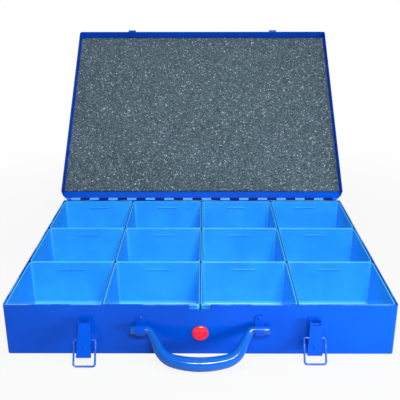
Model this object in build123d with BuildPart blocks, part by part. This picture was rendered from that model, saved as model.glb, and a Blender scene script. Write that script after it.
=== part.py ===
"""Compartment storage box: a shallow sheet steel case with twelve lift-out bins.

The lid is lined with foam and turns on a full-length rolled hinge along the back wall. The front wall
carries a bow handle in two straps, a round cap and two toggle latches whose wire bails pull on hooks
on the lid. The part stands on the plane z = 0, its front faces -Y, and its origin is the centre of
the underside of the case. It is drawn as it stands open, with the handle and the bails let down.
"""

import os
from math import acos, asin, cos, hypot, radians, sin, tan

from build123d import *

# Case
case_width = 434.0
case_depth = 328.0
case_height = 63.0
sheet = 0.8
case_corner = 2.6
floor_bend = 1.6
hem_height = 7.0
notch_width = 24.0
notch_depth = 6.5
notch_corner = 1.5

# Bins
bin_columns = 4
bin_rows = 3
bin_play = 0.4
bin_top_drop = 1.4
bin_lift_gap = 0.3
bin_wall = 1.3
bin_floor = 1.6
bin_draft = 1.5
bin_round = 5.0
bin_rail_length = 30.0
bin_rail_height = 1.3
bin_rail_drop = 10.0
bin_rail_out = 0.8

# Rolled hinge
hinge_end_room = 11.0
knuckle_length = 14.7
knuckle_radius = 2.3
knuckle_side_gap = 0.3
hinge_pin_radius = 1.1
pin_running_gap = 0.06
pin_tight_gap = 0.02
pin_chamfer = 0.3
leaf_sheet = 0.8
leaf_stand_off = 0.35
leaf_width = 14.0
leaf_swing_gap = 0.3

# Lid
lid_open_angle = 138.0
lid_play = 2.5
lid_skirt = 16.0
lid_corner = 3.5
lid_bend = 1.5
lid_stop_gap = 0.3
lid_rear_cut = 12.0

# Foam
foam_thickness = 2.7
foam_clearance = 0.3
foam_edge_gap = 0.6
foam_hinge_margin = 15.0

# Lid hooks and latches
latch_offset = 126.5
hook_width = 12.5
hook_sheet = 1.2
hook_groove = 1.5
hook_height = 9.0
hook_lip = 2.5
hook_rise = 0.2
wire_radius = 1.1
wire_gap = 0.08
bail_half_width = 11.8
bail_corner = 3.0
bail_end_bend = 2.2
bail_end_reach = 6.0
lever_pin_width = 13.0
lever_tip_width = 16.6
lever_sheet = 1.0
lever_pivot_out = 6.3
lever_pivot_drop = 20.2
lever_front = 3.6
lever_back = 4.0
lever_straight = 28.0
lever_length = 36.0
lever_kick = 1.4
lever_flange_end = 24.0
lever_dimple_radius = 1.7
lever_dimple_height = 0.6
lever_dimple_slope = 30.0
lever_dimple_place = 26.0
bail_arm = 17.5
bail_inset = 1.7
latch_pin_radius = 1.4
latch_pin_gap = 0.08
latch_pin_head = 2.2
latch_pin_head_length = 0.6
plate_sheet = 1.0
plate_width = 17.0
plate_rise = 4.6
plate_length = 36.4
plate_corner = 2.0
ear_radius = 2.2
ear_gap = 0.4
right_lever_open = 4.0
left_lever_open = 26.0
floor_gap = 0.1

# Rivets
rivet_shank = 1.5
rivet_fit = 0.05
rivet_head = 2.4
rivet_head_height = 1.2
rivet_crown = 1.0
rivet_tail = 2.0
rivet_tail_height = 0.7
latch_rivet_drops = (25.8, 10.8)

# Handle and its straps
handle_end_radius = 4.7
handle_grip_radius = 7.8
handle_pivot_drop = 28.6
handle_wall_gap = 0.6
handle_reach = 37.2
handle_end = 77.2
handle_end_chamfer = 1.0
handle_elbow = 59.5
handle_elbow_bend = 6.0
handle_slope = 62.0
handle_knee_bend = 26.0
handle_crown_slope = 14.0
handle_neck_radius = 4.5
handle_arm_radius = 5.8
handle_knee_radius = 7.2
strap_sheet = 1.2
strap_gap = 0.3
strap_width = 10.4
strap_offset = 65.4
strap_tongue_drop = 12.6
strap_tongue_round = 3.0
strap_tongue_tip = 4.0
strap_foot = 5.0
strap_rivet_drop = 16.3

# Round cap
cap_height = 27.5
cap_radius = 9.25
cap_rim = 1.2
cap_crown = 3.2
cap_flat = 5.5
cap_bulge = 0.65
cap_barrel = 5.0
cap_barb = 5.5
cap_barb_length = 0.7
cap_fit = 0.05

# Places worked out from the sizes above
latch_places = (-latch_offset, latch_offset)
strap_places = (-strap_offset, strap_offset)
front = -case_depth / 2
back = case_depth / 2
hem_inner_width = case_width - 4 * sheet
hem_inner_depth = case_depth - 4 * sheet
bin_width = (hem_inner_width - (bin_columns + 1) * bin_play) / bin_columns
bin_depth = (hem_inner_depth - (bin_rows + 1) * bin_play) / bin_rows
bin_bottom = sheet + bin_lift_gap
bin_height = case_height - bin_top_drop - bin_bottom

leaf_face = knuckle_radius + leaf_stand_off
pin_y = back + leaf_face
pin_z = case_height + foam_thickness + foam_clearance - leaf_face
knuckle_pairs = int((case_width - 2 * hinge_end_room) / (2 * knuckle_length))
hinge_length = 2 * knuckle_pairs * knuckle_length

lid_turn = radians(lid_open_angle)
lid_width = case_width + 2 * (lid_play + sheet)
lid_front = front - lid_play - sheet - pin_y
lid_rear = (leaf_face * sin(lid_turn) + leaf_face - leaf_sheet - lid_stop_gap) / -cos(lid_turn)
lid_bottom = leaf_face + sheet - lid_skirt
lid_frame = Plane(origin=(0, pin_y, pin_z), x_dir=(1, 0, 0), z_dir=(0, sin(lid_turn), cos(lid_turn)))
lid_side = Plane(origin=lid_frame.origin, x_dir=lid_frame.y_dir, z_dir=(1, 0, 0))

hook_bottom = lid_bottom + hook_rise
hook_centre_y = lid_front - hook_sheet - hook_groove
hook_centre_z = hook_bottom + hook_sheet + hook_groove
hook_out = lid_play + sheet + hook_sheet + hook_groove
hook_up = pin_z + hook_centre_z

lever_pivot_height = case_height - lever_pivot_drop
bail_pivot_out = lever_pivot_out - bail_inset
bail_pivot_height = lever_pivot_height - bail_arm
bail_length = hypot(hook_out - bail_pivot_out, hook_up - bail_pivot_height)

lever_taper = (lever_tip_width - lever_pin_width) / 2 / lever_length
ear_outer = lever_pin_width / 2 - lever_sheet - ear_gap
plate_top = lever_pivot_height + plate_rise
latch_rivet_heights = [lever_pivot_height - drop for drop in latch_rivet_drops]

handle_height = case_height - handle_pivot_drop
handle_pivot_y = front - handle_end_radius - handle_wall_gap
handle_lean = asin(min(1, (handle_height - handle_grip_radius) / handle_reach))
strap_tongue_top = case_height - strap_tongue_drop
strap_rivet_height = case_height - strap_rivet_drop


def side_plane(x, out, height, turn=0.0):
    """A plane square to X at a distance in front of the case. Its first axis points away from the
    case and its second one up, both turned by the angle that a lever is lifted."""
    return Plane(origin=(x, front - out, height), x_dir=(0, -cos(turn), sin(turn)), z_dir=(-1, 0, 0))


def make_case():
    """The folded tray: floor, four walls, a rim hemmed inwards and the finger notch in front."""
    inner_width = case_width - 2 * sheet
    inner_depth = case_depth - 2 * sheet
    with BuildPart() as case:
        with BuildSketch():
            RectangleRounded(case_width, case_depth, case_corner)
        extrude(amount=case_height)
        fillet(case.faces().sort_by(Axis.Z)[0].edges(), floor_bend)
        with BuildSketch(Plane.XY.offset(sheet)):
            RectangleRounded(inner_width, inner_depth, case_corner - sheet)
        extrude(amount=case_height, mode=Mode.SUBTRACT)
        with BuildSketch(Plane.XY.offset(case_height - hem_height)):
            RectangleRounded(inner_width, inner_depth, case_corner - sheet)
            RectangleRounded(hem_inner_width, hem_inner_depth, case_corner - 2 * sheet, mode=Mode.SUBTRACT)
        extrude(amount=hem_height)
        with BuildSketch(Plane.XZ.offset(-front + sheet)):
            with Locations((0, case_height)):
                Rectangle(notch_width, 2 * notch_depth)
            fillet(vertices().group_by(Axis.Y)[0], notch_corner)
        extrude(amount=-4 * sheet, mode=Mode.SUBTRACT)
        with Locations(Plane(origin=(0, front, cap_height), z_dir=(0, -1, 0))):
            Hole(cap_barrel + cap_fit, depth=2 * sheet)
        for x in latch_places:
            for z in latch_rivet_heights:
                with Locations(Plane(origin=(x, front, z), z_dir=(0, -1, 0))):
                    Hole(rivet_shank + rivet_fit, depth=2 * sheet)
        for x in strap_places:
            with Locations(Plane(origin=(x, front, strap_rivet_height), z_dir=(0, -1, 0))):
                Hole(rivet_shank + rivet_fit, depth=2 * sheet)
    return case.part


def drafted_block(x, y, low, inset):
    """A block that narrows downwards from the rim of a bin to a height, inset from the bin's outside.
    It is cut to its front view and its side view, and all its edges below the rim have one round."""
    high = bin_bottom + bin_height
    narrowing = (high - low) * tan(radians(bin_draft))
    half_width = bin_width / 2 - inset
    half_depth = bin_depth / 2 - inset
    front_view = Plane(origin=(x, y, 0), x_dir=(1, 0, 0), z_dir=(0, -1, 0))
    side_view = Plane(origin=(x, y, 0), x_dir=(0, 1, 0), z_dir=(1, 0, 0))
    with BuildPart() as block:
        for view, half, reach, mode in (
            (front_view, half_width, half_depth, Mode.ADD),
            (side_view, half_depth, half_width, Mode.INTERSECT),
        ):
            with BuildSketch(view):
                with BuildLine():
                    Polyline(
                        (-half, high),
                        (half, high),
                        (half - narrowing, low),
                        (narrowing - half, low),
                        close=True,
                    )
                make_face()
            extrude(amount=reach, both=True, mode=mode)
        rim = block.faces().sort_by(Axis.Z)[-1].edges()
        fillet([edge for edge in block.edges() if edge not in rim], bin_round - inset)
    return block.part


def make_bin(column, row):
    """One moulded bin: drafted walls with wide rounds at the corners and along the floor, and a short
    rail for a label on the inside of the back wall."""
    x = (column - (bin_columns - 1) / 2) * (bin_width + bin_play)
    y = ((bin_rows - 1) / 2 - row) * (bin_depth + bin_play)
    rail_y = y + bin_depth / 2 - bin_wall / 2 - bin_rail_drop * tan(radians(bin_draft))
    rail_z = bin_bottom + bin_height - bin_rail_drop
    with BuildPart() as tray:
        add(drafted_block(x, y, bin_bottom, 0))
        add(drafted_block(x, y, bin_bottom + bin_floor, bin_wall), mode=Mode.SUBTRACT)
        with Locations((x, rail_y, rail_z)):
            Box(
                bin_rail_length,
                bin_rail_out + bin_wall / 2,
                bin_rail_height,
                align=(Align.CENTER, Align.MAX, Align.CENTER),
            )
    return tray.part


def knuckle_places(start):
    """The X centres of every second knuckle, counted from the left end of the hinge."""
    first = -hinge_length / 2 + (start + 0.5) * knuckle_length
    return [first + 2 * n * knuckle_length for n in range(knuckle_pairs)]


def make_case_leaf():
    """The hinge leaf on the outside of the back wall, with its half of the rolled knuckles."""
    strip = leaf_width - knuckle_radius - leaf_swing_gap
    tab = knuckle_radius + leaf_swing_gap + leaf_sheet
    with BuildPart() as leaf:
        with BuildSketch(Plane.YZ.offset(-hinge_length / 2)):
            with Locations((back + leaf_sheet / 2, pin_z - leaf_width)):
                Rectangle(leaf_sheet, strip, align=(Align.CENTER, Align.MIN))
        extrude(amount=hinge_length)
        for x in knuckle_places(0):
            with BuildSketch(Plane.YZ.offset(x)):
                with Locations((pin_y, pin_z)):
                    Circle(knuckle_radius)
                with Locations((back + leaf_sheet / 2, pin_z)):
                    Rectangle(leaf_sheet, tab, align=(Align.CENTER, Align.MAX))
                with Locations((pin_y, pin_z)):
                    Circle(hinge_pin_radius + pin_tight_gap, mode=Mode.SUBTRACT)
            extrude(amount=(knuckle_length - knuckle_side_gap) / 2, both=True)
    return leaf.part


def make_lid_leaf():
    """The hinge leaf under the rear margin of the lid, with the other half of the knuckles."""
    strip = leaf_width - knuckle_radius - leaf_swing_gap
    tab = knuckle_radius + leaf_swing_gap + leaf_sheet
    with BuildPart() as leaf:
        with BuildSketch(lid_side.offset(-hinge_length / 2)):
            with Locations((-leaf_width, leaf_face - leaf_sheet / 2)):
                Rectangle(strip, leaf_sheet, align=(Align.MIN, Align.CENTER))
        extrude(amount=hinge_length)
        for x in knuckle_places(1):
            with BuildSketch(lid_side.offset(x)):
                Circle(knuckle_radius)
                with Locations((0, leaf_face - leaf_sheet / 2)):
                    Rectangle(tab, leaf_sheet, align=(Align.MAX, Align.CENTER))
                Circle(hinge_pin_radius + pin_running_gap, mode=Mode.SUBTRACT)
            extrude(amount=(knuckle_length - knuckle_side_gap) / 2, both=True)
    return leaf.part


def make_hinge_pin():
    """The wire through all the knuckles."""
    with BuildPart() as pin:
        with BuildSketch(Plane.YZ.offset(-hinge_length / 2)):
            with Locations((pin_y, pin_z)):
                Circle(hinge_pin_radius)
        extrude(amount=hinge_length)
        chamfer(pin.edges().filter_by(GeomType.CIRCLE), pin_chamfer)
    return pin.part


def make_lid():
    """The lid pan: a plate with a skirt in front and at both sides. Its rear edge reaches past the
    hinge and comes round against the back wall, which stops the lid where it stands open."""
    length = lid_rear - lid_front
    middle = (lid_rear + lid_front) / 2
    with BuildPart() as lid:
        with BuildSketch(lid_frame.offset(lid_bottom)):
            with Locations((0, middle)):
                Rectangle(lid_width, length)
            chamfer(vertices().group_by(Axis.Y)[-1], lid_rear_cut)
            fillet(vertices().group_by(Axis.Y)[0], lid_corner)
        extrude(amount=lid_skirt)
        fillet(lid.faces().sort_by(Axis(lid_frame.origin, lid_frame.z_dir))[-1].edges(), lid_bend)
        with BuildSketch(lid_frame.offset(lid_bottom)):
            with Locations((0, lid_front + sheet)):
                Rectangle(lid_width - 2 * sheet, length + lid_rear_cut, align=(Align.CENTER, Align.MIN))
            fillet(vertices().group_by(Axis.Y)[0], lid_corner - sheet)
        extrude(amount=lid_skirt - sheet, mode=Mode.SUBTRACT)
    return lid.part


def make_foam():
    """The foam sheet glued inside the lid, which closes the bins when the lid is shut."""
    foam_front = lid_front + sheet + foam_edge_gap
    with BuildPart() as foam:
        with BuildSketch(lid_frame.offset(leaf_face - foam_thickness)):
            with Locations((0, foam_front)):
                Rectangle(
                    lid_width - 2 * (sheet + foam_edge_gap),
                    -foam_hinge_margin - foam_front,
                    align=(Align.CENTER, Align.MIN),
                )
            fillet(vertices().group_by(Axis.Y)[0], lid_corner - sheet)
        extrude(amount=foam_thickness)
    return foam.part


def make_hook(x):
    """A hook on the front skirt of the lid: a small plate whose foot curls out and up."""
    outer = hook_groove + hook_sheet
    with BuildPart() as hook:
        with BuildSketch(lid_side.offset(x)):
            with Locations((hook_centre_y, hook_centre_z)):
                Circle(outer)
                Circle(hook_groove, mode=Mode.SUBTRACT)
                Rectangle(2 * outer, outer, align=(Align.CENTER, Align.MIN), mode=Mode.SUBTRACT)
            with Locations((lid_front, hook_centre_z)):
                Rectangle(hook_sheet, hook_height, align=(Align.MAX, Align.MIN))
            with Locations((hook_centre_y - hook_groove, hook_centre_z)):
                Rectangle(hook_sheet, hook_lip, align=(Align.MAX, Align.MIN))
        extrude(amount=hook_width / 2, both=True)
    return hook.part


def make_latch_plate(x):
    """The base plate of a latch, with two ears that hold the pin of the lever."""
    ear_reach = lever_pivot_out - plate_sheet / 2
    with BuildPart() as plate:
        with BuildSketch(Plane.XZ.offset(-front)):
            with Locations((x, plate_top - plate_length / 2)):
                RectangleRounded(plate_width, plate_length, plate_corner)
            with Locations(*[(x, z) for z in latch_rivet_heights]):
                Circle(rivet_shank + rivet_fit, mode=Mode.SUBTRACT)
        extrude(amount=plate_sheet)
        for inner in (x - ear_outer, x + ear_outer - lever_sheet):
            with BuildSketch(side_plane(inner, lever_pivot_out, lever_pivot_height)):
                Circle(ear_radius)
                Rectangle(ear_reach, 2 * ear_radius, align=(Align.MAX, Align.CENTER))
                Circle(latch_pin_radius + pin_tight_gap, mode=Mode.SUBTRACT)
            extrude(amount=-lever_sheet)
    return plate.part


def make_latch_pin(x):
    """The peened pin that the lever turns on."""
    half = lever_pin_width / 2 + strap_gap
    with BuildPart() as pin:
        with BuildSketch(side_plane(x, lever_pivot_out, lever_pivot_height)):
            Circle(latch_pin_radius)
        extrude(amount=half, both=True)
        for end in (-1, 1):
            with BuildSketch(side_plane(x + end * half, lever_pivot_out, lever_pivot_height)):
                Circle(latch_pin_head)
            extrude(amount=-end * latch_pin_head_length)
    return pin.part


def lever_block(frame, inset, outline):
    """A block with an outline in the side view of a lever, and in its front view the taper of the lever
    from the pin to the tip, inset from its outer sides."""
    half_at_pin = lever_pin_width / 2 - inset
    half_at_tip = half_at_pin + lever_taper * lever_length
    high = lever_front + lever_back
    front_view = Plane(origin=frame.origin, x_dir=(1, 0, 0), z_dir=frame.x_dir)
    with BuildPart() as block:
        with BuildSketch(frame):
            add(outline)
        extrude(amount=lever_tip_width, both=True)
        with BuildSketch(front_view):
            with BuildLine():
                Polyline(
                    (-half_at_tip, -lever_length),
                    (half_at_tip, -lever_length),
                    (half_at_pin, 0),
                    (half_at_pin, high),
                    (-half_at_pin, high),
                    (-half_at_pin, 0),
                    close=True,
                )
            make_face()
        extrude(amount=2 * lever_tip_width, both=True, mode=Mode.INTERSECT)
    return block.part


def make_lever(x, open_angle):
    """A pressed lever: a channel that widens from the pin to the tip, with rounded cheeks and a finger
    lip kicked outwards."""
    frame = side_plane(x, lever_pivot_out, lever_pivot_height, radians(open_angle))
    kicked = lever_front + lever_kick
    inside = lever_front - lever_sheet
    top = (lever_front - lever_back) / 2
    with BuildSketch() as cheek:
        with BuildLine():
            ThreePointArc((lever_front, 0), (top, (lever_front + lever_back) / 2), (-lever_back, 0))
            Polyline(
                (-lever_back, 0),
                (-lever_back, -lever_flange_end),
                (inside, -lever_straight - 2 * lever_sheet),
                (kicked - lever_sheet, -lever_length),
                (kicked, -lever_length),
                (lever_front, -lever_straight),
                (lever_front, 0),
            )
        make_face()
    with BuildSketch() as hollow:
        with BuildLine():
            Polyline(
                (inside, 0),
                (inside, -lever_straight),
                (kicked - lever_sheet, -lever_length),
                (-2 * lever_back, -lever_length),
                (-2 * lever_back, 2 * lever_back),
                (2 * lever_back, 2 * lever_back),
                (2 * lever_back, 0),
                close=True,
            )
        make_face()
    with BuildPart() as lever:
        add(lever_block(frame, 0, cheek.sketch))
        add(lever_block(frame, lever_sheet, hollow.sketch), mode=Mode.SUBTRACT)
        with BuildSketch(frame):
            Circle(latch_pin_radius + latch_pin_gap)
            with Locations((-bail_inset, -bail_arm)):
                Circle(wire_radius + wire_gap)
        extrude(amount=lever_tip_width, both=True, mode=Mode.SUBTRACT)
        out_plane = Plane(
            origin=frame.from_local_coords((lever_front, -lever_dimple_place, 0)),
            x_dir=(1, 0, 0),
            z_dir=frame.x_dir,
        )
        with BuildSketch(out_plane):
            Circle(lever_dimple_radius)
        extrude(amount=lever_dimple_height, taper=lever_dimple_slope)
    return lever.part


def bail_pivot(open_angle):
    """How far out and how high the bail is pivoted in a lever that is lifted by open_angle."""
    turn = radians(open_angle)
    out = lever_pivot_out - bail_inset * cos(turn) + bail_arm * sin(turn)
    height = lever_pivot_height - bail_inset * sin(turn) - bail_arm * cos(turn)
    return out, height


def bail_lean(open_angle):
    """The angle from straight down at which the bail leans out with its tip on the ground. A bail that
    is too short to reach the ground hangs straight down."""
    height = bail_pivot(open_angle)[1]
    return acos(min(1, (height - wire_radius - floor_gap) / bail_length))


def make_bail(x, open_angle):
    """A wire bail, its two ends turned in through the cheeks of the lever."""
    out, height = bail_pivot(open_angle)
    lean = bail_lean(open_angle)
    frame = Plane(origin=(x, front - out, height), x_dir=(1, 0, 0), z_dir=(0, -cos(lean), sin(lean)))
    with BuildPart() as bail:
        with BuildLine(frame) as route:
            FilletPolyline(
                (-bail_end_reach, 0),
                (-bail_half_width, 0),
                (-bail_half_width, -bail_length),
                (bail_half_width, -bail_length),
                (bail_half_width, 0),
                (bail_end_reach, 0),
                radius=[bail_end_bend, bail_corner, bail_corner, bail_end_bend],
            )
        with BuildSketch(Plane(origin=route.line @ 0, z_dir=route.line % 0)):
            Circle(wire_radius)
        sweep()
    return bail.part


def make_strap(x):
    """A handle strap: a U bent round the end of the handle, with a riveted tongue and a foot."""
    reach = handle_end_radius + handle_wall_gap
    outer = handle_end_radius + strap_gap + strap_sheet
    inner = handle_end_radius + strap_gap
    with BuildPart() as strap:
        with BuildSketch(side_plane(x, reach, handle_height)):
            Circle(outer)
            Rectangle(2 * reach, 2 * outer, align=(Align.MAX, Align.CENTER))
            Circle(inner, mode=Mode.SUBTRACT)
            Rectangle(2 * reach, 2 * inner, align=(Align.MAX, Align.CENTER), mode=Mode.SUBTRACT)
            with Locations((-reach, 0)):
                Rectangle(4 * reach, 4 * outer, align=(Align.MAX, Align.CENTER), mode=Mode.SUBTRACT)
            with Locations((-reach, -inner)):
                Rectangle(strap_sheet, strap_foot, align=(Align.MIN, Align.MAX))
        extrude(amount=strap_width / 2, both=True)
        with BuildSketch(Plane.XZ.offset(-front)):
            with BuildLine():
                Polyline(
                    (x - strap_width / 2, handle_height + inner),
                    (x + strap_width / 2, handle_height + inner),
                    (x + strap_width / 2, handle_height + outer),
                    (x + strap_tongue_tip, strap_tongue_top),
                    (x - strap_tongue_tip, strap_tongue_top),
                    (x - strap_width / 2, handle_height + outer),
                    (x - strap_width / 2, handle_height + inner),
                )
            make_face()
            fillet(vertices().group_by(Axis.Y)[-1], strap_tongue_round)
            with Locations((x, strap_rivet_height)):
                Circle(rivet_shank + rivet_fit, mode=Mode.SUBTRACT)
        extrude(amount=strap_sheet)
    return strap.part


def make_handle():
    """The moulded bow handle: round ends that lie in the straps, necks at the elbows, sloping arms, and
    a grip that swells towards its middle and rests on the ground. It is drawn flat, with its second
    axis from the pivot to the grip. The length of the arms and the radius of the crown follow from
    where the bow starts and how far it reaches."""
    slope = radians(handle_slope)
    crown = radians(handle_crown_slope)
    turn = handle_slope - handle_crown_slope
    across = handle_elbow - handle_elbow_bend * sin(slope) - handle_knee_bend * (sin(slope) - sin(crown))
    down = handle_reach - handle_elbow_bend * (1 - cos(slope))
    down -= handle_knee_bend * (cos(crown) - cos(slope))
    divisor = cos(slope) * (1 - cos(crown)) - sin(slope) * sin(crown)
    arm_length = (across * (1 - cos(crown)) - down * sin(crown)) / divisor
    crown_radius = (down * cos(slope) - across * sin(slope)) / divisor
    with BuildPart() as handle:
        with BuildLine() as route:
            left_elbow = JernArc((-handle_elbow, 0), (1, 0), handle_elbow_bend, handle_slope)
            left_arm = PolarLine(left_elbow @ 1, arm_length, handle_slope)
            left_knee = JernArc(left_arm @ 1, left_arm % 1, handle_knee_bend, -turn)
            grip = JernArc(left_knee @ 1, left_knee % 1, crown_radius, -2 * handle_crown_slope)
            right_knee = JernArc(grip @ 1, grip % 1, handle_knee_bend, -turn)
            right_arm = PolarLine(right_knee @ 1, arm_length, -handle_slope)
            right_elbow = JernArc(right_arm @ 1, right_arm % 1, handle_elbow_bend, handle_slope)
        for line, place, radius in (
            (left_elbow, 0, handle_end_radius),
            (left_elbow, 1, handle_neck_radius),
            (left_knee, 0, handle_arm_radius),
            (left_knee, 1, handle_knee_radius),
            (grip, 0.5, handle_grip_radius),
            (right_knee, 0, handle_knee_radius),
            (right_knee, 1, handle_arm_radius),
            (right_elbow, 0, handle_neck_radius),
            (right_elbow, 1, handle_end_radius),
        ):
            with BuildSketch(Plane(origin=line @ place, z_dir=line % place)):
                Circle(radius)
        sweep(path=route.wire(), multisection=True)
        for side in (-1, 1):
            with BuildSketch(Plane(origin=(side * handle_elbow, 0, 0), z_dir=(side, 0, 0))):
                Circle(handle_end_radius)
            extrude(amount=handle_end - handle_elbow)
        chamfer(handle.faces().filter_by(Axis.X).edges(), handle_end_chamfer)
    hanging = Plane(
        origin=(0, handle_pivot_y, handle_height),
        x_dir=(1, 0, 0),
        z_dir=(0, sin(handle_lean), -cos(handle_lean)),
    )
    return hanging.location * handle.part


def make_rivets(places, plate):
    """Rivets at a list of places: a coned head in front of a plate, a shank and a flat tail."""
    with BuildPart() as rivets:
        for x, z in places:
            with BuildSketch(side_plane(x, 0, z)):
                with BuildLine():
                    Polyline(
                        (plate + rivet_head_height, 0),
                        (-sheet - rivet_tail_height, 0),
                        (-sheet - rivet_tail_height, rivet_tail),
                        (-sheet, rivet_tail),
                        (-sheet, rivet_shank),
                        (plate, rivet_shank),
                        (plate, rivet_head),
                        (plate + rivet_head_height, rivet_crown),
                        close=True,
                    )
                make_face()
            revolve(axis=Axis((x, front, z), (0, 1, 0)))
    return rivets.part


def make_cap():
    """The round cap: a crowned head in front of the wall and a barbed barrel snapped through it."""
    barb = -sheet - cap_barb_length - cap_fit
    shoulder_out = cap_rim + cap_bulge * (cap_crown - cap_rim)
    shoulder_radius = cap_flat + cap_bulge * (cap_radius - cap_flat)
    with BuildPart() as cap:
        with BuildSketch(side_plane(0, 0, cap_height)):
            with BuildLine():
                Polyline(
                    (cap_crown, 0),
                    (barb, 0),
                    (barb, cap_barb - cap_barb_length),
                    (-sheet - cap_fit, cap_barb),
                    (-sheet - cap_fit, cap_barrel),
                    (0, cap_barrel),
                    (0, cap_radius),
                    (cap_rim, cap_radius),
                )
                ThreePointArc((cap_rim, cap_radius), (shoulder_out, shoulder_radius), (cap_crown, cap_flat))
                Line((cap_crown, cap_flat), (cap_crown, 0))
            make_face()
        revolve(axis=Axis((0, front, cap_height), (0, 1, 0)))
    return cap.part


def save(part, name):
    """Labels a finished piece and writes it."""
    part.label = name
    export_step(part, f"parts/{name}.step")


os.makedirs("parts", exist_ok=True)
save(make_case(), "case_tray")
for row in range(bin_rows):
    for column in range(bin_columns):
        save(make_bin(column, row), f"bin_{row + 1}_{column + 1}")
save(make_case_leaf(), "hinge_leaf_case")
save(make_lid_leaf(), "hinge_leaf_lid")
save(make_hinge_pin(), "hinge_pin")
save(make_lid(), "lid_pan")
save(make_foam(), "lid_foam")
for side_name, side_sign, lever_open in (("left", -1, left_lever_open), ("right", 1, right_lever_open)):
    latch_x = side_sign * latch_offset
    save(make_hook(latch_x), f"lid_hook_{side_name}")
    save(make_latch_plate(latch_x), f"latch_plate_{side_name}")
    save(make_latch_pin(latch_x), f"latch_pin_{side_name}")
    save(make_lever(latch_x, lever_open), f"latch_lever_{side_name}")
    save(make_bail(latch_x, lever_open), f"latch_bail_{side_name}")
    save(make_strap(side_sign * strap_offset), f"handle_strap_{side_name}")
save(make_rivets([(x, z) for x in latch_places for z in latch_rivet_heights], plate_sheet), "latch_rivets")
save(make_rivets([(x, strap_rivet_height) for x in strap_places], strap_sheet), "strap_rivets")
save(make_handle(), "handle")
save(make_cap(), "front_cap")
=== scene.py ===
# %% [markdown]
# # A storage case with twelve lift-out bins
# The object is a flat case of folded, painted sheet steel. Its lid stands open and is lined with foam,
# and twelve plastic bins fill the case. The imported CAD model gives every rigid piece its true shape and
# place. Those pieces could be modelled again here, but they would drift from the CAD, so this lesson
# gives them their finishes and models only what a solid can't show: the soft foam. First the packed
# model is loaded as the frame.

# %% Load the frame
from math import pi, radians

import bpy
import numpy as np
from mathutils import Matrix, Vector


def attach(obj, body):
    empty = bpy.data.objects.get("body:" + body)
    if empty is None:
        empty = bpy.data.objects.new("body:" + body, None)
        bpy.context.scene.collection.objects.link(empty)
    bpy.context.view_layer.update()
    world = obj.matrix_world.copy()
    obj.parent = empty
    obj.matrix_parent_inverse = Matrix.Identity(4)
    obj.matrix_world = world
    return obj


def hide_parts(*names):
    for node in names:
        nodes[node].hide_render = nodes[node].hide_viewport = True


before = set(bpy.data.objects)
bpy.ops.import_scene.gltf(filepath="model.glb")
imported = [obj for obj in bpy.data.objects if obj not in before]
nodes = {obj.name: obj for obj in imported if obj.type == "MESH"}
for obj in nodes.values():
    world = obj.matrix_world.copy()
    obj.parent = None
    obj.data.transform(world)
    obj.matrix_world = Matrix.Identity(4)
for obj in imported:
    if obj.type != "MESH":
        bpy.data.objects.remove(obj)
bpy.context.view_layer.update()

# %% [markdown]
# ## The camera
# The photograph was taken from a little above the rim of the case, straight in front of it. A camera
# could be placed by eye, but here its place, its tilt and its lens were worked out from the corners of
# the case and of the lid, so the render and the photograph can be laid over each other.

# %% Camera
SENSOR_MM = 36.0
PICTURE_PIXELS = 400
FOCAL_PIXELS = 642.21
MIDDLE_PIXEL = (202.06, 198.32)
CAMERA_PLACE = (0.0059, -0.7824, 0.4160)
HEADING, TILT, ROLL = radians(0.329), radians(90 - 20.293), radians(-0.097)

camera_data = bpy.data.cameras.new("camera")
camera_data.sensor_width = SENSOR_MM
camera_data.lens = FOCAL_PIXELS / PICTURE_PIXELS * SENSOR_MM
camera_data.shift_x = (PICTURE_PIXELS / 2 - MIDDLE_PIXEL[0]) / PICTURE_PIXELS
camera_data.shift_y = (MIDDLE_PIXEL[1] - PICTURE_PIXELS / 2) / PICTURE_PIXELS
camera_data.clip_start, camera_data.clip_end = 0.01, 100
camera = bpy.data.objects.new("camera", camera_data)
bpy.context.scene.collection.objects.link(camera)
turn = Matrix.Rotation(HEADING, 4, "Z") @ Matrix.Rotation(TILT, 4, "X") @ Matrix.Rotation(ROLL, 4, "Z")
camera.matrix_world = Matrix.Translation(CAMERA_PLACE) @ turn
bpy.context.scene.camera = camera
print("lens", round(camera_data.lens, 2), "mm")

# %% [markdown]
# ## Surfaces from numpy
# The new pieces are the foam and the floor. Each could be drawn by hand in the viewport, but a surface
# over two parameters is exact and easy to change: its points are worked out as whole arrays on a grid,
# and each cell of the grid becomes a face with four sides. Smooth shading then hides the grid.

# %% Surface helpers
def grid_faces(number, flip=False):
    """The four corners of each cell of a grid of point numbers, turned round if flip is set."""
    corners = [number[:-1, :-1], number[1:, :-1], number[1:, 1:], number[:-1, 1:]]
    return np.stack(corners[::-1] if flip else corners, -1).reshape(-1, 4)


def surface(name, points, faces, material):
    """Make a mesh object at the origin from an array of points and an array of four-sided faces."""
    count, sides = faces.shape
    mesh = bpy.data.meshes.new(name)
    mesh.vertices.add(len(points))
    mesh.vertices.foreach_set("co", points.astype(np.float32).ravel())
    mesh.loops.add(count * sides)
    mesh.loops.foreach_set("vertex_index", faces.astype(np.int32).ravel())
    mesh.polygons.add(count)
    mesh.polygons.foreach_set("loop_start", np.arange(0, count * sides, sides, dtype=np.int32))
    mesh.polygons.foreach_set("use_smooth", np.ones(count, dtype=bool))
    mesh.update(calc_edges=True)
    mesh.validate()
    mesh.materials.append(material)
    made = bpy.data.objects.new(name, mesh)
    bpy.context.scene.collection.objects.link(made)
    return made


print("a grid of 3 by 3 points has", len(grid_faces(np.arange(9).reshape(3, 3))), "faces")

# %% [markdown]
# ## Shader sums as Python
# A finish could be wired by hand, box by box, but it is easier to read as a formula. `Wire` wraps one
# output of a node, and a sum, a product or a power of wires adds the Math node for it. Most finishes
# ask where a point lies, so `rise`, `fall` and `band` turn a height or a distance into a soft mask.

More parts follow.
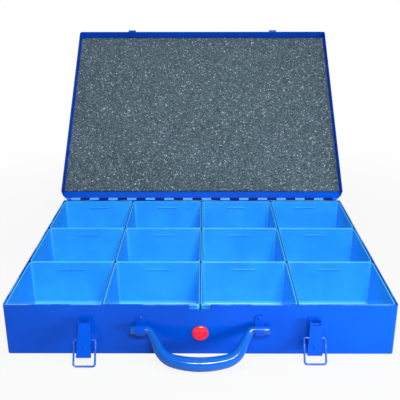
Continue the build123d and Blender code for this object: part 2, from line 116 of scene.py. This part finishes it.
# %% Wire
class Wire:
    """One output of a node. Python's own signs add Math nodes to the wires that they join."""

    def __init__(self, formula, socket):
        self.formula = formula
        self.socket = socket

    def other(self, name):
        """Another output of the same node."""
        return Wire(self.formula, self.socket.node.outputs[name])

    def math(self, operation, first, second, clamp=False):
        """One Math node on two wires, or on a wire and a plain number."""
        settings = {"operation": operation, "use_clamp": clamp}
        return self.formula.make("ShaderNodeMath", settings, {0: first, 1: second})

    def __add__(self, number):
        return self.math("ADD", self, number)

    __radd__ = __add__

    def __sub__(self, number):
        return self.math("SUBTRACT", self, number)

    def __rsub__(self, number):
        return self.math("SUBTRACT", number, self)

    def __mul__(self, number):
        return self.math("MULTIPLY", self, number)

    __rmul__ = __mul__

    def __pow__(self, number):
        return self.math("POWER", self, number)

    def __rpow__(self, number):
        return self.math("POWER", number, self)

    def clip(self):
        """Below 0 becomes 0 and above 1 becomes 1."""
        return self.math("ADD", self, 0.0, clamp=True)

    def smaller(self, number):
        return self.math("MINIMUM", self, number)

    def larger(self, number):
        return self.math("MAXIMUM", self, number)

    def from_multiple(self, step):
        """The distance to the nearest whole multiple of a step, which is a zigzag between 0 and half
        of the step."""
        return self.math("PINGPONG", self, step / 2)

    def rise(self, start, end):
        """0 before start, 1 after end, and a smooth rise between them."""
        values = {"Value": self, "From Min": start, "From Max": end}
        return self.formula.make("ShaderNodeMapRange", {"interpolation_type": "SMOOTHSTEP"}, values)

    def fall(self, start, end):
        """1 before start and 0 after end."""
        return 1.0 - self.rise(start, end)

    def band(self, start, full, fading, end):
        """1 from full to fading, and 0 before start and after end."""
        return self.rise(start, full) * self.fall(fading, end)


print("Wire ready")

# %% [markdown]
# ## One material for each finish
# `Formula` is a tree of nodes that grows by its `make`: it adds a node, sets what it needs and connects
# its inputs. `Finish` is the formula of one material. Colours go through its `blend`, because a Math
# node would turn them grey. The steel is folded and the bins are moulded, so no edge of the real case
# is quite sharp. Rounding each edge in the mesh would cost many faces, so `bump` can soften the shading
# of the edges instead, and they catch a line of light.

# %% Formula and Finish
class Formula:
    """A tree of nodes, to which sums of wires add what they need."""

    def __init__(self, tree):
        self.nodes = tree.nodes
        self.links = tree.links

    def join(self, value, socket):
        """Connect a wire to an input, or set the input to a plain value."""
        if isinstance(value, Wire):
            self.links.new(value.socket, socket)
        else:
            socket.default_value = value

    def make(self, kind, settings=None, values=None, output=0):
        """Add a node, set its settings, then give its inputs their values or wires."""
        node = self.nodes.new(kind)
        for setting, value in (settings or {}).items():
            setattr(node, setting, value)
        for socket, value in (values or {}).items():
            self.join(value, node.inputs[socket])
        return Wire(self, node.outputs[output])


class Finish(Formula):
    """A material. `look` is its Principled shader, and `fixed` are the values that never vary."""

    def __init__(self, name, **fixed):
        self.material = bpy.data.materials.new(name)
        self.material.use_nodes = True
        super().__init__(self.material.node_tree)
        self.look = Wire(self, self.nodes["Principled BSDF"].outputs["BSDF"])
        self.feed(**fixed)

    def show(self, shader):
        """Show another shader than the Principled one."""
        self.join(shader, self.nodes["Material Output"].inputs["Surface"])

    def feed(self, **values):
        """Give sockets of the Principled shader their values or wires, by name."""
        for name, value in values.items():
            self.join(value, self.look.socket.node.inputs[name.replace("_", " ")])

    def where(self):
        """The place of a point on the object at rest, in metres."""
        return self.make("ShaderNodeTexCoord", output="Object")

    def split(self, vector):
        """The x, y and z of a vector."""
        x = self.make("ShaderNodeSeparateXYZ", values={0: vector}, output="X")
        return x, x.other("Y"), x.other("Z")

    def noise(self, where, scale, detail=2.0, rough=0.5):
        """Clouds about 1 / scale metres across. More detail and roughness make them finer."""
        values = {"Vector": where, "Scale": scale, "Detail": detail, "Roughness": rough}
        return self.make("ShaderNodeTexNoise", values=values, output="Fac")

    def blend(self, first, second, share):
        """A colour that goes from first to second as share goes from 0 to 1."""
        ends = [colour if isinstance(colour, Wire) else (*colour, 1.0) for colour in (first, second)]
        values = {0: share, 6: ends[0], 7: ends[1]}
        return self.make("ShaderNodeMix", {"data_type": "RGBA"}, values, output=2)

    def bump(self, height, depth, strength, edge=None):
        """Raise the surface by height times depth. An edge radius in metres softens sharp edges."""
        values = {"Height": height, "Distance": depth, "Strength": strength}
        if edge is not None:
            values["Normal"] = self.make("ShaderNodeBevel", {"samples": 6}, {"Radius": edge})
        self.feed(Normal=self.make("ShaderNodeBump", values=values))


print("Formula and Finish ready")

# %% [markdown]
# ## The painted steel
# The case, the lid and all their fittings were sprayed with one saturated blue. One flat colour would
# look like plastic. Sprayed paint has a fine orange peel, wanders a little in depth and takes pale
# scuffs.
# So the formula mixes two blues by a slow noise, adds scuffs, paints a pale broken band along the top
# of the case rim as a highlight, and turns a finer noise into the bump. Hands have polished the handle,
# so it has the same coat with a higher gloss, and a lighter blue that is a painted sheen.

# %% Blue paint
THIN_COAT, THICK_COAT = (0.0003, 0.062, 0.50), (0.0006, 0.083, 0.63)
# The handle's blues are lighter than the case's as a painted sheen over its highlight.
THIN_GRIP_SHEEN, THICK_GRIP_SHEEN = (0.0006, 0.080, 0.43), (0.0010, 0.110, 0.55)
# The first colour here is a painted highlight for the top of the case rim.
RIM_HIGHLIGHT_BLUE, SCUFFED_BLUE = (0.16, 0.52, 0.92), (0.05, 0.26, 0.8)
CASE_RIM = (0.0626, 0.0629, 0.0631, 0.0634)
STEEL_EDGE = 0.0007


def sprayed_paint(name, gloss, thin, thick):
    """The blue coat, from a thin to a thick colour. A higher gloss mirrors more of the lamps."""
    coated = Finish(name, Specular_IOR_Level=gloss)
    where = coated.where()
    height = coated.split(where)[2]
    cloud = coated.noise(where, scale=9.0, detail=3.0)
    peel = coated.noise(where, scale=900.0)
    specks = coated.noise(where, scale=210.0, detail=4.0, rough=0.7).rise(0.66, 0.74)
    scuff = specks * coated.noise(where, scale=30.0).rise(0.55, 0.7)
    # A noise that breaks up the painted highlight along the rim.
    highlight_breaks = coated.noise(where, scale=24.0, detail=3.0, rough=0.7).rise(0.40, 0.62)
    coat = coated.blend(thin, thick, cloud.rise(0.3, 0.7))
    # A painted highlight: a pale, broken band along the top of the case rim.
    coat = coated.blend(coat, RIM_HIGHLIGHT_BLUE, height.band(*CASE_RIM) * highlight_breaks * 0.75)
    coated.feed(
        Base_Color=coated.blend(coat, SCUFFED_BLUE, scuff * 0.5),
        Roughness=0.09 + 0.06 * cloud + 0.25 * scuff,
    )
    coated.bump(peel + 0.6 * cloud, depth=0.00004, strength=0.4, edge=STEEL_EDGE)
    return coated


paint = sprayed_paint("blue_paint", 0.13, THIN_COAT, THICK_COAT)
grip = sprayed_paint("handle_gloss", 0.42, THIN_GRIP_SHEEN, THICK_GRIP_SHEEN)
print("blue_paint and handle_gloss have", len(paint.nodes), "nodes each")

# %% [markdown]
# ## The bins
# The bins are moulded polystyrene, a lighter and greener blue than the paint. The rim and the corners
# are painted paler as a highlight, and so is the wide round along the floor of each bin. The walls
# carry faint flow lines from the mould, and the floors are scratched by screws and washers. Shade is
# painted dark along the gaps between the bins, on the rims and just under them. Twelve painted maps
# could say all that, but the bins stand on a regular pitch, so one formula does: the height tells rim,
# wall and floor apart, and the distance to the nearest gap tells inside from outside.

# %% Where a point lies on a bin
COLUMN_PITCH, ROW_PITCH = 0.1081, 0.10813
bins = Finish("bin_plastic", Specular_IOR_Level=0.42)
where = bins.where()
x, y, height = bins.split(where)
from_column_gap = x.from_multiple(COLUMN_PITCH)
from_row_gap = ROW_PITCH / 2 - y.from_multiple(ROW_PITCH)
rim = height.rise(0.0605, 0.0614)
under_rim = height.band(0.0545, 0.0600, 0.0610, 0.0615)
floor_round = height.band(0.0030, 0.0050, 0.0060, 0.0090)
floor = height.fall(0.0025, 0.0042)
corner = from_column_gap.fall(0.0035, 0.0062) * from_row_gap.fall(0.0035, 0.0062)
# Masks for the painted shade along the gaps between bins.
near_column_gap = from_column_gap.fall(0.0004, 0.0012)
outside = from_column_gap.smaller(from_row_gap).fall(0.0006, 0.0009)
print("masks for rim, corner, floor and outside take", len(bins.nodes), "nodes")

# %% [markdown]
# The masks then choose the colours. Scratches are a noise squeezed into streaks by a Mapping node,
# because things slide about mostly along a bin, and the mould's flow lines double as the bump.

# %% Bin plastic
THIN_WALL, THICK_WALL = (0.024, 0.37, 0.94), (0.032, 0.43, 0.98)
# The first two colours here are a painted highlight and a painted shade.
PAINTED_HIGHLIGHT_BLUE, GAP_SHADE_BLUE, SCRATCHED = (0.12, 0.66, 1.0), (0.003, 0.06, 0.42), (0.07, 0.42, 0.95)
MOULDED_EDGE = 0.0006

flow = bins.noise(where, scale=26.0)
fine = bins.noise(where, scale=1400.0, detail=1.0)
streaks = bins.make("ShaderNodeMapping", values={"Vector": where, "Scale": (900.0, 60.0, 60.0)})
scratch = bins.noise(streaks, scale=1.0, detail=3.0, rough=0.6).rise(0.60, 0.72) * floor
wall = bins.blend(THIN_WALL, THICK_WALL, flow.rise(0.3, 0.7))
# Painted highlight: the rim, the corners and the round along the floor turn a paler blue.
lit = bins.blend(wall, PAINTED_HIGHLIGHT_BLUE, (rim * 0.45 + corner * 0.35 + floor_round * 0.7).clip())
# Painted shade: the rims beside the column gaps and the outsides just under the rim turn dark blue.
gap_shade = (rim * near_column_gap * 0.85).larger(outside * under_rim * 0.8)
bins.feed(
    Base_Color=bins.blend(bins.blend(lit, GAP_SHADE_BLUE, gap_shade), SCRATCHED, scratch * 0.35),
    Roughness=0.20 + 0.12 * flow + 0.2 * scratch,
)
bins.bump(flow + 0.15 * fine, depth=0.00008, strength=0.4, edge=MOULDED_EDGE)
print("bin_plastic has", len(bins.nodes), "nodes")

# %% [markdown]
# ## The red cap
# A round plug of glossy red plastic closes a hole in the front wall. A plain red would do from afar,
# but up close the colour of such a plug swirls a little, and a clear coat gives it a second, sharper
# highlight.

# %% Red cap
DEEP_RED, BRIGHT_RED = (0.80, 0.012, 0.030), (0.92, 0.022, 0.055)

red = Finish("red_cap", Specular_IOR_Level=0.5, Coat_Weight=0.4)
swirl = red.noise(red.where(), scale=160.0)
red.feed(
    Base_Color=red.blend(DEEP_RED, BRIGHT_RED, swirl.rise(0.35, 0.65)),
    Roughness=0.22 + 0.1 * swirl,
)
red.bump(swirl, depth=0.00005, strength=0.4)
print("red_cap has", len(red.nodes), "nodes")

# %% [markdown]
# ## The rubbed wire
# The bails of the latches and the pin of the hinge were painted with the rest, but the paint has rubbed
# off where they turn. One noise decides where the steel is bare, and there the colour, the roughness
# and the metal all change together, as they do on a real chip in the paint.

# %% Rubbed wire
WIRE_PAINT, BARE_STEEL = (0.006, 0.10, 0.60), (0.42, 0.44, 0.48)

wire = Finish("rubbed_wire", Specular_IOR_Level=0.4)
where = wire.where()
bare = wire.noise(where, scale=260.0, detail=4.0, rough=0.65).rise(0.57, 0.68)
wire.feed(
    Base_Color=wire.blend(WIRE_PAINT, BARE_STEEL, bare),
    Roughness=0.34 + 0.1 * bare,
    Metallic=bare,
)
wire.bump(wire.noise(where, scale=900.0), depth=0.00005, strength=0.5)
print("rubbed_wire has", len(wire.nodes), "nodes")

# %% [markdown]
# ## The rolled hinge
# Each leaf of the hinge is a painted strip whose edge is cut into tongues and rolled round one long
# wire. The tongues of the case leaf face the light and are painted pale as a highlight. Those of the
# lid leaf lie in their own shade, which is painted on them as a near black blue. Strip and tongues are
# one CAD piece and take one material, so the distance to the wire tells them apart.

# %% Hinge finishes
WIRE_Y, WIRE_Z = 0.16665, 0.06335
TONGUE_START, TONGUE_END = 0.0024, 0.0027
# The first two colours paint a highlight and a shade on the hinge tongues.
TONGUE_HIGHLIGHT, TONGUE_SHADE, TONGUE_PAINT = (0.10, 0.42, 0.95), (0.0008, 0.010, 0.10), (0.004, 0.10, 0.60)
STRIP_ROUGHNESS, LID_TONGUE_ROUGHNESS = 0.2, 0.6


def hinge_leaf(name, colour):
    """Blue paint on the flat strip, and another colour on the tongues round the wire. Gives the finish
    and the mask that is 1 on its tongues."""
    leaf = Finish(name, Specular_IOR_Level=0.12, Roughness=STRIP_ROUGHNESS)
    where = leaf.where()
    _, y, z = leaf.split(where)
    rolled = (((y - WIRE_Y) ** 2.0 + (z - WIRE_Z) ** 2.0) ** 0.5).fall(TONGUE_START, TONGUE_END)
    mottle = leaf.noise(where, scale=320.0, detail=3.0, rough=0.6)
    strip = leaf.blend(THIN_COAT, THICK_COAT, leaf.noise(where, scale=9.0, detail=3.0))
    # A tongue takes a painted highlight or painted shade, broken by a noise towards the blue paint.
    tongue = leaf.blend(colour, TONGUE_PAINT, mottle.rise(0.55, 0.75) * 0.5)
    leaf.feed(Base_Color=leaf.blend(strip, tongue, rolled))
    leaf.bump(mottle, depth=0.00005, strength=0.4)
    return leaf, rolled


case_leaf, _ = hinge_leaf("hinge_case_leaf", TONGUE_HIGHLIGHT)
lid_leaf, shaded_tongues = hinge_leaf("hinge_lid_leaf", TONGUE_SHADE)
lid_leaf.feed(Roughness=STRIP_ROUGHNESS + (LID_TONGUE_ROUGHNESS - STRIP_ROUGHNESS) * shaded_tongues)
print("the hinge finishes have", len(case_leaf.nodes), "and", len(lid_leaf.nodes), "nodes")

# %% [markdown]
# ## Giving the finishes to the CAD pieces
# A CAD piece keeps its mesh, and only its material slots change. Each could be set by hand, but the
# names of the pieces already say what they are. What no line names is painted steel.

# %% Finishes by piece
finish_by_name = {
    "front_cap": red,
    "handle": grip,
    "hinge_pin": wire,
    "hinge_leaf_case": case_leaf,
    "hinge_leaf_lid": lid_leaf,
}
finish_by_start = {"bin_": bins, "latch_bail": wire}


def finish_for(name):
    """The finish of a piece by how its name starts, or else by its whole name, or else the paint."""
    for start, finish in finish_by_start.items():
        if name.startswith(start):
            return finish
    return finish_by_name.get(name, paint)


for name, node in nodes.items():
    node.data.materials.clear()
    node.data.materials.append(finish_for(name).material)
print("finishes given to", len(nodes), "pieces")

# %% [markdown]
# ## The finish of the foam
# The lid is lined with a sheet of open-cell foam. Up close it is a mass of tiny open bubbles: dark holes
# between thin skins, some of which catch the light as bright specks. Real holes would need millions of
# faces, so cells of a Voronoi pattern stand for them: the distance to the middle of a cell paints the
# hole's shade, and the chance colour of a cell paints how its skin is lit, with glints on the brightest.

# %% Foam finish
BUBBLES_PER_METRE = 640.0
FELT_DARK, FELT_LIGHT = (0.030, 0.050, 0.063), (0.150, 0.215, 0.262)
HOLE_SHADE, GLINT = (0.018, 0.030, 0.038), (0.55, 0.66, 0.72)

foam_look = Finish("foam", Specular_IOR_Level=0.2)
where = foam_look.where()
cells = {"Vector": where, "Scale": BUBBLES_PER_METRE}
from_middle = foam_look.make("ShaderNodeTexVoronoi", values=cells, output="Distance")
pore = from_middle.fall(0.10, 0.55)
tilt = foam_look.make("ShaderNodeSeparateColor", values={0: from_middle.other("Color")})
patch = foam_look.noise(where, scale=14.0, detail=3.0)
grain = foam_look.noise(where, scale=420.0, rough=0.6)
shade = (tilt * 0.75 + grain * 0.7 - 0.35 + patch * 0.2 - 0.1).clip()
# Painted glints where the chance colour and the grain are highest.
glint = (tilt + 0.5 * grain).rise(1.18, 1.30)
felt = foam_look.blend(FELT_DARK, FELT_LIGHT, shade)
# Painted shade in the holes.
felt = foam_look.blend(felt, HOLE_SHADE, pore * 0.45)
foam_look.feed(
    Base_Color=foam_look.blend(felt, GLINT, glint * 0.85),
    Roughness=0.92 - 0.3 * glint,
)
foam_look.bump(shade - 0.8 * pore, depth=0.0006, strength=0.8)
print("foam finish has", len(foam_look.nodes), "nodes")

# %% [markdown]
# ## The directions of the lid
# The foam lies in the open lid, which leans back. It would be easy to model it flat and turn it, but a
# finished piece stays unturned at the origin with its place in its mesh. So its points are worked out
# straight in the leaning directions of the lid, measured from the pin of the hinge.

# %% Directions of the lid
PIN = np.array([0.0, WIRE_Y, WIRE_Z])
LID_ANGLE = radians(138.0)
across_lid = np.array([1.0, 0.0, 0.0])
along_lid = np.array([0.0, np.cos(LID_ANGLE), -np.sin(LID_ANGLE)])
out_of_lid = np.array([0.0, np.sin(LID_ANGLE), np.cos(LID_ANGLE)])


def in_lid(a, b, c):
    """The pin plus a across the lid, b along it towards the hinge and c outwards through its steel."""
    return PIN + a[..., None] * across_lid + b[..., None] * along_lid + c[..., None] * out_of_lid


print("the lid points along", np.round(-along_lid, 3))

# %% [markdown]
# ## The foam
# The real sheet is glued flat and cut square, and its cut edges crush and roll over. A block would look
# like a tile, and cloth in a simulation would have nothing to do, because nothing pulls or presses on
# the sheet. So the front is a grid with close rows over each edge, where a quarter circle rolls it down
# to the back, and slow waves keep it from looking machined. The back is flat against the steel.

# %% Front of the foam
FOAM_LOW, FOAM_HIGH = (-0.2187, -0.3324), (0.2187, -0.0152)
FOAM_BACK, FOAM_THICK, FOAM_EDGE = 0.00263, 0.0026, 0.0021
ACROSS_STOPS, ALONG_STOPS, EDGE_STOPS = 130, 95, 8


def stops(low, high, count):
    """Places from low to high. Over each rolled edge they are its radius times 1 minus the cosine of
    even angles, so that they lie closest at the very edge, and between the two edges they are even."""
    near = FOAM_EDGE * (1 - np.cos(np.linspace(0, pi / 2, EDGE_STOPS)))
    between = np.linspace(low + FOAM_EDGE, high - FOAM_EDGE, count)[1:-1]
    return np.concatenate([low + near, between, high - near[::-1]])


def foam_front(a, b):
    """The back minus the thickness times the quarter circle of the distance to the nearest edge, so it
    falls to the back there. A sum of slow waves moves it by up to a tenth of a millimetre."""
    from_sides = np.minimum(a - FOAM_LOW[0], FOAM_HIGH[0] - a)
    from_ends = np.minimum(b - FOAM_LOW[1], FOAM_HIGH[1] - b)
    share = np.clip(np.minimum(from_sides, from_ends) / FOAM_EDGE, 0, 1)
    quarter = np.sqrt(np.clip(1 - (1 - share) ** 2, 0, 1))
    swell = np.sin(a * 61 + 1.3) * np.cos(b * 47) + 0.6 * np.sin(a * 23 - b * 31)
    swell = swell + 0.4 * np.sin(a * 140) * np.sin(b * 120)
    return FOAM_BACK - FOAM_THICK * quarter * (0.965 - 0.02 * swell)


a, b = np.meshgrid(
    stops(FOAM_LOW[0], FOAM_HIGH[0], ACROSS_STOPS),
    stops(FOAM_LOW[1], FOAM_HIGH[1], ALONG_STOPS),
    indexing="ij",
)
front = foam_front(a, b)
print("the foam stands out by up to", round((FOAM_BACK - front.min()) * 1000, 2), "mm")

# %% [markdown]
# Front and back share the points of their common outline, so the sheet is one closed surface. It stands
# for the CAD's foam and rides on the lid.

# %% Foam sheet
front_number = np.arange(a.size).reshape(a.shape)
inner = np.zeros(a.shape, dtype=bool)
inner[1:-1, 1:-1] = True
back_number = front_number.copy()
back_number[inner] = a.size + np.arange(inner.sum())
back_points = in_lid(a, b, np.full_like(a, FOAM_BACK))
points = np.concatenate([in_lid(a, b, front).reshape(-1, 3), back_points[inner]])
faces = np.concatenate([grid_faces(front_number, flip=True), grid_faces(back_number)])
foam = surface("foam_lining", points, faces, foam_look.material)
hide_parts("lid_foam")
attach(foam, "lid")
print("foam lining has", len(foam.data.polygons), "faces")

# %% [markdown]
# ## The floor
# The photograph is cut out on white. More light would bleach the object too, so the floor glows a
# little for rays that come straight from the camera, and less for reflected ones. The share that
# doesn't glow keeps the shadow of the case, and the glow grows with distance, so no edge is seen.

# %% Floor
FLOOR_GREY = (0.55, 0.55, 0.55, 1.0)
WHITE = (1.0, 1.0, 1.0, 1.0)
GLOW_NEAR, GLOW_FAR, GLOW_REFLECTED = 0.88, 1.0, 0.3
NEAR, FAR = 0.25, 0.9
FLOOR_HALF, FLOOR_DROP = 30.0, 0.0001


def kinds_of_ray(formula):
    """Two wires: 1 for a ray from the camera, and 1 for a reflected ray or one that went through."""
    to_camera = formula.make("ShaderNodeLightPath", output="Is Camera Ray")
    return to_camera, to_camera.other("Is Glossy Ray") + to_camera.other("Is Transmission Ray")


ground = Finish("pale_floor", Base_Color=FLOOR_GREY, Roughness=0.9, Specular_IOR_Level=0.1)
to_camera, reflected = kinds_of_ray(ground)
x, y, _ = ground.split(ground.where())
away = ((x * x + y * y) ** 0.5).rise(NEAR, FAR)
glow = to_camera * (GLOW_NEAR + (GLOW_FAR - GLOW_NEAR) * away) + GLOW_REFLECTED * reflected
white = ground.make("ShaderNodeEmission", values={"Color": WHITE})
ground.show(ground.make("ShaderNodeMixShader", values={0: glow.clip(), 1: ground.look, 2: white}))

ends = np.linspace(-FLOOR_HALF, FLOOR_HALF, 3)
u, v = np.meshgrid(ends, ends, indexing="ij")
floor_points = np.stack([u, v, np.full_like(u, -FLOOR_DROP)], -1).reshape(-1, 3)
floor_faces = grid_faces(np.arange(u.size).reshape(u.shape), flip=True)
floor_object = surface("floor", floor_points, floor_faces, ground.material)
print("the floor is", 2 * FLOOR_HALF, "metres wide")

# %% [markdown]
# ## The sky
# Over the floor the photograph is white too. A picture of a real studio could stand round the object,
# but its shapes would show in the paint. So the sky is one white, bright to the camera, less so in
# reflections, and low on the object itself, where it only lifts the shadows.

# %% Sky
SKY_LIGHT, SKY_TO_CAMERA, SKY_REFLECTED = 0.15, 0.85, 0.15

world = bpy.data.worlds.new("studio")
bpy.context.scene.world = world
world.use_nodes = True
background = world.node_tree.nodes["Background"]
background.inputs["Color"].default_value = WHITE
sky = Formula(world.node_tree)
to_camera, reflected = kinds_of_ray(sky)
level = SKY_LIGHT + SKY_TO_CAMERA * to_camera + SKY_REFLECTED * reflected
sky.join(level, background.inputs["Strength"])
print("the sky lights the object at", SKY_LIGHT)

# %% [markdown]
# ## The lamps
# In the photograph the light comes from near the camera: the walls that face it are bright, the side
# walls of the bins are dark, and the front of the case gets brighter towards its right end. One lamp
# above the camera does the first, and draws the highlight along the handle. A low one on the right,
# under the rim of the case, lights the front wall and stays out of the bins. A wide one overhead fills
# the bins. The shut lid would mirror those last two as white patches, so they don't show in gloss.

# %% Lamps
def soft_lamp(name, place, target, width, height, power, mirrored=True):
    """A rectangular lamp, width by height in metres, at a place and facing a target. Where it isn't
    mirrored, it lights the surfaces but doesn't show in their gloss."""
    data = bpy.data.lights.new(name, "AREA")
    data.shape = "RECTANGLE"
    data.size = width
    data.size_y = height
    data.energy = power
    lamp = bpy.data.objects.new(name, data)
    bpy.context.scene.collection.objects.link(lamp)
    facing = (Vector(place) - Vector(target)).to_track_quat("Z", "Y").to_matrix().to_4x4()
    lamp.matrix_world = Matrix.Translation(place) @ facing
    lamp.visible_glossy = mirrored


soft_lamp(
    "front_lamp", place=(0.16, -1.00, 0.98), target=(0.05, 0.0, 0.05),
    width=0.5, height=0.10, power=15.5,
)
soft_lamp(
    "side_lamp", place=(0.50, -0.42, 0.03), target=(0.22, -0.164, 0.03),
    width=0.25, height=0.05, power=2.7, mirrored=False,
)
soft_lamp(
    "top_lamp", place=(0.0, -0.1, 1.3), target=(0.0, 0.0, 0.0),
    width=0.7, height=0.7, power=7.5, mirrored=False,
)
print(len(bpy.data.lights), "lamps made")

# %% [markdown]
# ## The view transform
# The last line sets the Standard view transform.

# %% Close
bpy.context.scene.view_settings.view_transform = "Standard"
